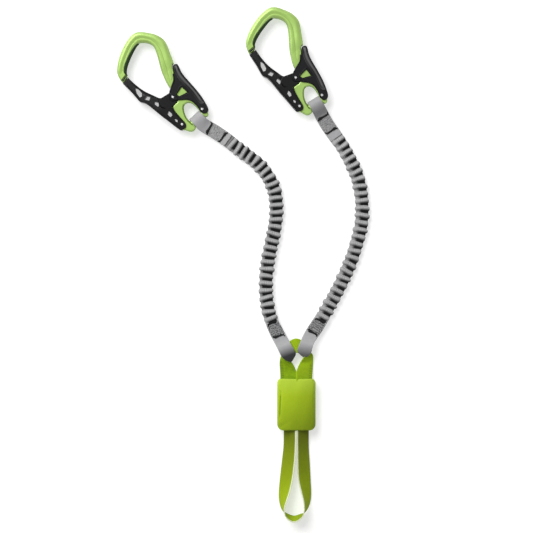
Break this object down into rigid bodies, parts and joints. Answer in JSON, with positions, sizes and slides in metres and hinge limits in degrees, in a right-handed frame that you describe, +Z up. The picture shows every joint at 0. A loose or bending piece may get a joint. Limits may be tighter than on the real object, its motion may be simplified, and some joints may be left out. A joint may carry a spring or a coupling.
{
  "type": "via ferrata lanyard",
  "caption": "Y-shaped via ferrata lanyard: squeeze-lever carabiners on ribbed elastic arms, energy absorber pouch and webbing tie-in loop.",
  "frame": {"origin": "centre of the absorber pouch's flat underside", "axes": "+Z up from the surface that it lies on, +Y from the tie-in loop towards the carabiners"},
  "size_m": [0.2806, 0.5714, 0.02],
  "materials": {
    "lime_metal": "satin anodised",
    "black_metal": "satin",
    "black_plastic": "fine grained",
    "steel": "bright",
    "grey_tape": "woven",
    "elastic_core": "plain",
    "lime_webbing": "woven"
  },
  "bodies": {
    "absorber": {"absorber_pouch": "lime_webbing", "tear_webbing_pack": "lime_webbing", "y_webbing_loop": "lime_webbing", "tie_in_loop": "lime_webbing"},
    "left_arm": {"left_arm_sleeve": "grey_tape", "left_arm_elastic": "elastic_core", "left_carabiner_eye": "grey_tape", "left_loop_eye": "grey_tape"},
    "left_carabiner": {"left_frame": "lime_metal", "left_gate_rivet": "steel", "left_lever_rivet": "steel", "left_lever_spring": "steel"},
    "left_gate_body": {"left_gate": "black_metal"},
    "left_lever_body": {"left_palm_lever": "black_plastic", "left_link_pin": "steel"},
    "right_arm": {"right_arm_sleeve": "grey_tape", "right_arm_elastic": "elastic_core", "right_carabiner_eye": "grey_tape", "right_loop_eye": "grey_tape"},
    "right_carabiner": {"right_frame": "lime_metal", "right_gate_rivet": "steel", "right_lever_rivet": "steel", "right_lever_spring": "steel"},
    "right_gate_body": {"right_gate": "black_metal"},
    "right_lever_body": {"right_palm_lever": "black_plastic", "right_link_pin": "steel"}
  },
  "joints": [
    {"name": "left_arm_lift", "type": "hinge", "parent": "absorber", "child": "left_arm", "pos_m": [-0.00966, 0.05661, 0.00614], "axis": [0.6428, 0.766, 0], "range_deg": [0, 20]},
    {"name": "left_carabiner_swing", "type": "hinge", "parent": "left_arm", "child": "left_carabiner", "pos_m": [-0.10922, 0.31635, 0.0077], "axis": [0.7289, 0.6846, 0], "range_deg": [0, 110]},
    {"name": "left_lever_squeeze", "type": "hinge", "parent": "left_carabiner", "child": "left_lever_body", "pos_m": [-0.10446, 0.32707, 0.0077], "axis": [0, 0, 1], "range_deg": [0, 4], "stiffness_Nm_per_rad": 1.5, "springref_deg": -5.73},
    {"name": "left_gate_open", "type": "hinge", "parent": "left_carabiner", "child": "left_gate_body", "pos_m": [-0.12654, 0.31026, 0.0077], "axis": [0, 0, 1], "range_deg": [-20, 0]},
    {"name": "right_arm_lift", "type": "hinge", "parent": "absorber", "child": "right_arm", "pos_m": [0.01032, 0.05927, 0.00614], "axis": [0.866, -0.5, 0], "range_deg": [0, 20]},
    {"name": "right_carabiner_swing", "type": "hinge", "parent": "right_arm", "child": "right_carabiner", "pos_m": [0.02165, 0.333, 0.0077], "axis": [0.849, 0.5285, 0], "range_deg": [0, 110]},
    {"name": "right_lever_squeeze", "type": "hinge", "parent": "right_carabiner", "child": "right_lever_body", "pos_m": [0.02842, 0.34258, 0.0077], "axis": [0, 0, 1], "range_deg": [0, 4], "stiffness_Nm_per_rad": 1.5, "springref_deg": -5.73},
    {"name": "right_gate_open", "type": "hinge", "parent": "right_carabiner", "child": "right_gate_body", "pos_m": [0.00347, 0.33042, 0.0077], "axis": [0, 0, 1], "range_deg": [-20, 0]}
  ],
  "couplings": [
    {"joint": "left_gate_open", "follows": "left_lever_squeeze", "ratio": -5},
    {"joint": "right_gate_open", "follows": "right_lever_squeeze", "ratio": -5}
  ]
}
